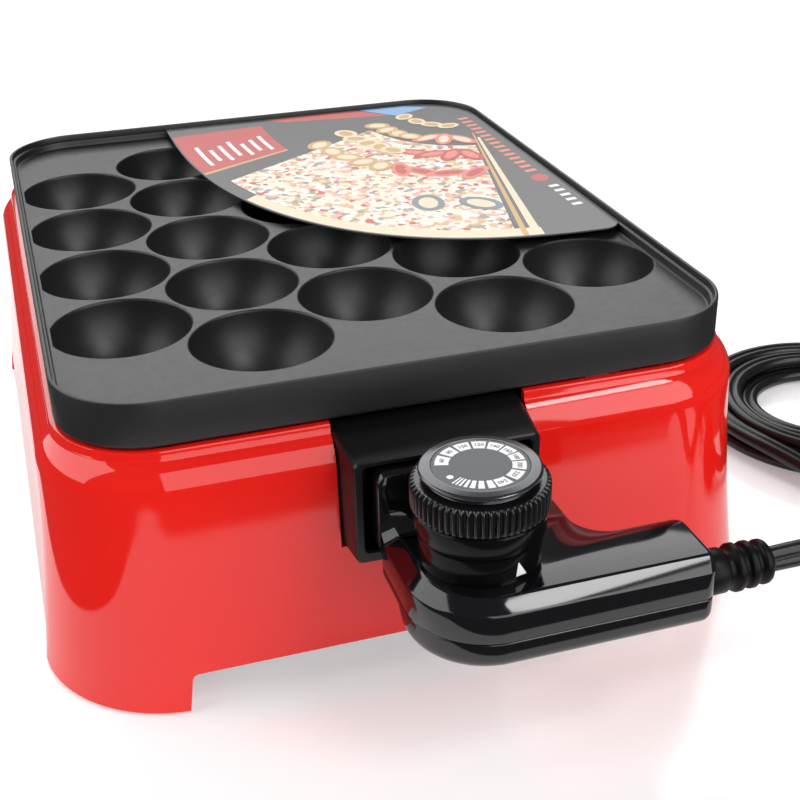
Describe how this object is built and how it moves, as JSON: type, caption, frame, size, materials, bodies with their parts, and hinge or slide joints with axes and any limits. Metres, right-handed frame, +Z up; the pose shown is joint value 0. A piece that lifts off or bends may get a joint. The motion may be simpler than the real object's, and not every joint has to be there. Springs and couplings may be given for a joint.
{
  "type": "electric takoyaki maker",
  "caption": "Countertop electric takoyaki maker: dark cast plate of staggered round cups on a glossy red base, with a pull-out dial thermostat and black flat mains lead",
  "frame": {"origin": "on the table, at the middle of the footprint of the cooker with its controller plugged in, without the cord", "axes": "+Z up, -Y the side the thermostat controller plugs into, +X towards the cord"},
  "size_m": [0.3416, 0.3168, 0.0887],
  "materials": {
    "red_enamel": "glossy red heat-resistant moulding",
    "foot_rubber": "matt black rubber",
    "sheet_steel": "zinc-plated sheet",
    "steel_fastener": "plated steel",
    "reflector_metal": "bright aluminium",
    "nonstick_plate": "dark grey non-stick coating, finely speckled",
    "element_sheath": "heat-darkened sheath",
    "plated_brass": "nickel-plated brass",
    "black_matte": "satin black moulding",
    "black_gloss": "gloss black moulding",
    "white_print": "white printed mark",
    "contact_brass": "plain brass",
    "probe_steel": "bright stainless steel",
    "cream_plastic": "unpainted heat-resistant moulding",
    "cord_rubber": "satin black sheath",
    "tie_vinyl": "soft black vinyl",
    "dial_face": "dark grey printed disc",
    "bright_trim": "turned and polished",
    "printed_card": "coated printed card"
  },
  "bodies": {
    "cooker": {"base_shell": "red_enamel", "foot_pads": "foot_rubber", "bottom_pan": "sheet_steel", "pan_screws": "steel_fastener", "heat_reflector": "reflector_metal", "plate_spacers": "steel_fastener", "plate_screws": "steel_fastener", "cooking_plate": "nonstick_plate", "heating_element": "element_sheath", "element_supports": "steel_fastener", "terminal_pins": "plated_brass", "probe_sleeve": "reflector_metal", "socket_housing": "black_matte"},
    "controller": {"controller_lower_case": "black_gloss", "controller_upper_case": "black_gloss", "case_screws": "steel_fastener", "dial_collar": "black_matte", "dial_pointer": "white_print", "thermostat_frame": "sheet_steel", "thermostat_blades": "contact_brass", "probe_tube": "probe_steel", "terminal_clips": "contact_brass", "cord_clamp": "cream_plastic", "strain_relief": "cord_rubber", "cord_lead": "cord_rubber", "cord_coil": "cord_rubber", "cord_tail": "cord_rubber", "cord_tie": "tie_vinyl", "plug_body": "cord_rubber", "plug_blades": "plated_brass"},
    "dial": {"dial_knob": "black_matte", "dial_disc": "dial_face", "dial_rim": "bright_trim", "dial_spindle": "probe_steel"},
    "card": {"insert_card": "printed_card"}
  },
  "joints": [
    {"name": "controller_slide", "type": "slide", "parent": "cooker", "child": "controller", "axis": [0, -1, 0], "range_m": [0, 0.06]},
    {"name": "dial_turn", "type": "hinge", "parent": "controller", "child": "dial", "pos_m": [0, -0.136, 0.06], "axis": [0, 0, -1], "range_deg": [0, 270]},
    {"name": "card_lift", "type": "slide", "parent": "cooker", "child": "card", "axis": [0, 0, 1], "range_m": [0, 0.1]}
  ]
}
